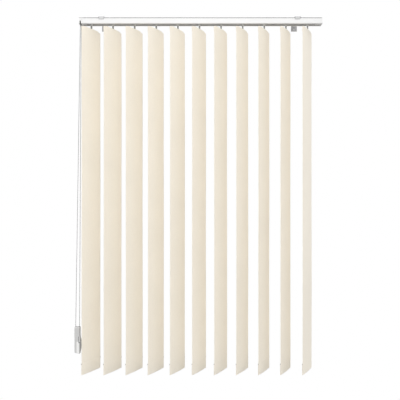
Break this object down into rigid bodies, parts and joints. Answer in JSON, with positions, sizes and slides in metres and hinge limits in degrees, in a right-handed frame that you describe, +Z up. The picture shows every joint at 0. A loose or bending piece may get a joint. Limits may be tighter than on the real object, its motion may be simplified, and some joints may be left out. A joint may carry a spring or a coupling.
{
  "type": "vertical blind",
  "caption": "Wall-hung vertical blind: slotted headrail, travelling carriers that turn bowed fabric vanes, and a bead chain loop with a weight at one end.",
  "frame": {"origin": "on the wall face, midway between the four fixing holes of the two brackets", "axes": "+X along the rail away from the control, +Y into the wall, +Z up"},
  "size_m": [1.2638, 0.1282, 1.8154],
  "materials": {
    "rail_paint": "white powder coat, satin",
    "cap_plastic": "white moulded plastic",
    "rod_metal": "plain extruded",
    "sprocket_plastic": "moulded",
    "draw_cord": "braided",
    "chain_plastic": "grey beads",
    "weight_plastic": "glossy white moulding",
    "bracket_metal": "grey coated steel",
    "clip_steel": "spring steel",
    "rivet_steel": "plain",
    "carrier_plastic": "moulded",
    "stem_plastic": "translucent grey moulding",
    "vane_cloth": "cream woven polyester, stiffened",
    "plate_plastic": "moulded"
  },
  "bodies": {
    "root": {"headrail": "rail_paint", "control_end_cap": "cap_plastic", "return_end_cap": "cap_plastic", "draw_cord": "draw_cord", "control_chain": "chain_plastic", "chain_weight": "weight_plastic", "bracket_left": "bracket_metal", "bracket_right": "bracket_metal", "bracket_clip_left": "clip_steel", "bracket_clip_right": "clip_steel", "clip_rivets": "rivet_steel", "carrier_01": "carrier_plastic"},
    "tilt_rod": {"tilt_rod": "rod_metal", "chain_sprocket": "sprocket_plastic"},
    "return_pulley": {"return_pulley": "sprocket_plastic"},
    "weight_wheel": {"weight_wheel": "sprocket_plastic"},
    "vane_01": {"stem_01": "stem_plastic", "vane_01": "vane_cloth", "vane_plates_01": "plate_plastic"},
    "carrier_02": {"carrier_02": "carrier_plastic"},
    "vane_02": {"stem_02": "stem_plastic", "vane_02": "vane_cloth", "vane_plates_02": "plate_plastic"},
    "carrier_03": {"carrier_03": "carrier_plastic"},
    "vane_03": {"stem_03": "stem_plastic", "vane_03": "vane_cloth", "vane_plates_03": "plate_plastic"},
    "carrier_04": {"carrier_04": "carrier_plastic"},
    "vane_04": {"stem_04": "stem_plastic", "vane_04": "vane_cloth", "vane_plates_04": "plate_plastic"},
    "carrier_05": {"carrier_05": "carrier_plastic"},
    "vane_05": {"stem_05": "stem_plastic", "vane_05": "vane_cloth", "vane_plates_05": "plate_plastic"},
    "carrier_06": {"carrier_06": "carrier_plastic"},
    "vane_06": {"stem_06": "stem_plastic", "vane_06": "vane_cloth", "vane_plates_06": "plate_plastic"},
    "carrier_07": {"carrier_07": "carrier_plastic"},
    "vane_07": {"stem_07": "stem_plastic", "vane_07": "vane_cloth", "vane_plates_07": "plate_plastic"},
    "carrier_08": {"carrier_08": "carrier_plastic"},
    "vane_08": {"stem_08": "stem_plastic", "vane_08": "vane_cloth", "vane_plates_08": "plate_plastic"},
    "carrier_09": {"carrier_09": "carrier_plastic"},
    "vane_09": {"stem_09": "stem_plastic", "vane_09": "vane_cloth", "vane_plates_09": "plate_plastic"},
    "carrier_10": {"carrier_10": "carrier_plastic"},
    "vane_10": {"stem_10": "stem_plastic", "vane_10": "vane_cloth", "vane_plates_10": "plate_plastic"},
    "carrier_11": {"carrier_11": "carrier_plastic"},
    "vane_11": {"stem_11": "stem_plastic", "vane_11": "vane_cloth", "vane_plates_11": "plate_plastic"}
  },
  "joints": [
    {"name": "carrier_02_travel", "type": "slide", "parent": "root", "child": "carrier_02", "axis": [-1, 0, 0], "range_m": [0, 0.0959]},
    {"name": "carrier_03_travel", "type": "slide", "parent": "root", "child": "carrier_03", "axis": [-1, 0, 0], "range_m": [0, 0.1918]},
    {"name": "carrier_04_travel", "type": "slide", "parent": "root", "child": "carrier_04", "axis": [-1, 0, 0], "range_m": [0, 0.2877]},
    {"name": "carrier_05_travel", "type": "slide", "parent": "root", "child": "carrier_05", "axis": [-1, 0, 0], "range_m": [0, 0.3836]},
    {"name": "carrier_06_travel", "type": "slide", "parent": "root", "child": "carrier_06", "axis": [-1, 0, 0], "range_m": [0, 0.4795]},
    {"name": "carrier_07_travel", "type": "slide", "parent": "root", "child": "carrier_07", "axis": [-1, 0, 0], "range_m": [0, 0.5754]},
    {"name": "carrier_08_travel", "type": "slide", "parent": "root", "child": "carrier_08", "axis": [-1, 0, 0], "range_m": [0, 0.6713]},
    {"name": "carrier_09_travel", "type": "slide", "parent": "root", "child": "carrier_09", "axis": [-1, 0, 0], "range_m": [0, 0.7672]},
    {"name": "carrier_10_travel", "type": "slide", "parent": "root", "child": "carrier_10", "axis": [-1, 0, 0], "range_m": [0, 0.8631]},
    {"name": "carrier_11_travel", "type": "slide", "parent": "root", "child": "carrier_11", "axis": [-1, 0, 0], "range_m": [0, 0.959]},
    {"name": "vane_01_turn", "type": "hinge", "parent": "root", "child": "vane_01", "pos_m": [-0.5543, -0.075, -0.033], "axis": [0, 0, 1], "range_deg": [-31.2, 98.8]},
    {"name": "vane_02_turn", "type": "hinge", "parent": "carrier_02", "child": "vane_02", "pos_m": [-0.4434, -0.075, -0.033], "axis": [0, 0, 1], "range_deg": [-31.2, 98.8]},
    {"name": "vane_03_turn", "type": "hinge", "parent": "carrier_03", "child": "vane_03", "pos_m": [-0.3325, -0.075, -0.033], "axis": [0, 0, 1], "range_deg": [-31.2, 98.8]},
    {"name": "vane_04_turn", "type": "hinge", "parent": "carrier_04", "child": "vane_04", "pos_m": [-0.2216, -0.075, -0.033], "axis": [0, 0, 1], "range_deg": [-31.2, 98.8]},
    {"name": "vane_05_turn", "type": "hinge", "parent": "carrier_05", "child": "vane_05", "pos_m": [-0.1107, -0.075, -0.033], "axis": [0, 0, 1], "range_deg": [-31.2, 98.8]},
    {"name": "vane_06_turn", "type": "hinge", "parent": "carrier_06", "child": "vane_06", "pos_m": [0.0002, -0.075, -0.033], "axis": [0, 0, 1], "range_deg": [-31.2, 98.8]},
    {"name": "vane_07_turn", "type": "hinge", "parent": "carrier_07", "child": "vane_07", "pos_m": [0.1111, -0.075, -0.033], "axis": [0, 0, 1], "range_deg": [-31.2, 98.8]},
    {"name": "vane_08_turn", "type": "hinge", "parent": "carrier_08", "child": "vane_08", "pos_m": [0.222, -0.075, -0.033], "axis": [0, 0, 1], "range_deg": [-31.2, 98.8]},
    {"name": "vane_09_turn", "type": "hinge", "parent": "carrier_09", "child": "vane_09", "pos_m": [0.3329, -0.075, -0.033], "axis": [0, 0, 1], "range_deg": [-31.2, 98.8]},
    {"name": "vane_10_turn", "type": "hinge", "parent": "carrier_10", "child": "vane_10", "pos_m": [0.4438, -0.075, -0.033], "axis": [0, 0, 1], "range_deg": [-31.2, 98.8]},
    {"name": "vane_11_turn", "type": "hinge", "parent": "carrier_11", "child": "vane_11", "pos_m": [0.5547, -0.075, -0.033], "axis": [0, 0, 1], "range_deg": [-31.2, 98.8]},
    {"name": "tilt_rod_turn", "type": "hinge", "parent": "root", "child": "tilt_rod", "pos_m": [0, -0.083, 0.004], "axis": [1, 0, 0], "range_deg": [-124.8, 395.2]},
    {"name": "weight_wheel_turn", "type": "hinge", "parent": "root", "child": "weight_wheel", "pos_m": [-0.6235, -0.083, -1.583], "axis": [0, 1, 0], "range_deg": [-309.1, 97.95]},
    {"name": "return_pulley_turn", "type": "hinge", "parent": "root", "child": "return_pulley", "pos_m": [0.606, -0.075, 0.0153], "axis": [0, 0, -1], "range_deg": [0, 6106.2]}
  ],
  "couplings": [
    {"joint": "carrier_02_travel", "follows": "carrier_11_travel", "ratio": 0.1},
    {"joint": "carrier_03_travel", "follows": "carrier_11_travel", "ratio": 0.2},
    {"joint": "carrier_04_travel", "follows": "carrier_11_travel", "ratio": 0.3},
    {"joint": "carrier_05_travel", "follows": "carrier_11_travel", "ratio": 0.4},
    {"joint": "carrier_06_travel", "follows": "carrier_11_travel", "ratio": 0.5},
    {"joint": "carrier_07_travel", "follows": "carrier_11_travel", "ratio": 0.6},
    {"joint": "carrier_08_travel", "follows": "carrier_11_travel", "ratio": 0.7},
    {"joint": "carrier_09_travel", "follows": "carrier_11_travel", "ratio": 0.8},
    {"joint": "carrier_10_travel", "follows": "carrier_11_travel", "ratio": 0.9},
    {"joint": "vane_02_turn", "follows": "vane_01_turn", "ratio": 1},
    {"joint": "vane_03_turn", "follows": "vane_01_turn", "ratio": 1},
    {"joint": "vane_04_turn", "follows": "vane_01_turn", "ratio": 1},
    {"joint": "vane_05_turn", "follows": "vane_01_turn", "ratio": 1},
    {"joint": "vane_06_turn", "follows": "vane_01_turn", "ratio": 1},
    {"joint": "vane_07_turn", "follows": "vane_01_turn", "ratio": 1},
    {"joint": "vane_08_turn", "follows": "vane_01_turn", "ratio": 1},
    {"joint": "vane_09_turn", "follows": "vane_01_turn", "ratio": 1},
    {"joint": "vane_10_turn", "follows": "vane_01_turn", "ratio": 1},
    {"joint": "vane_11_turn", "follows": "vane_01_turn", "ratio": 1},
    {"joint": "tilt_rod_turn", "follows": "vane_01_turn", "ratio": 4},
    {"joint": "weight_wheel_turn", "follows": "vane_01_turn", "ratio": -3.1235},
    {"joint": "return_pulley_turn", "follows": "carrier_11_travel", "rad_per_m": 111.11}
  ]
}
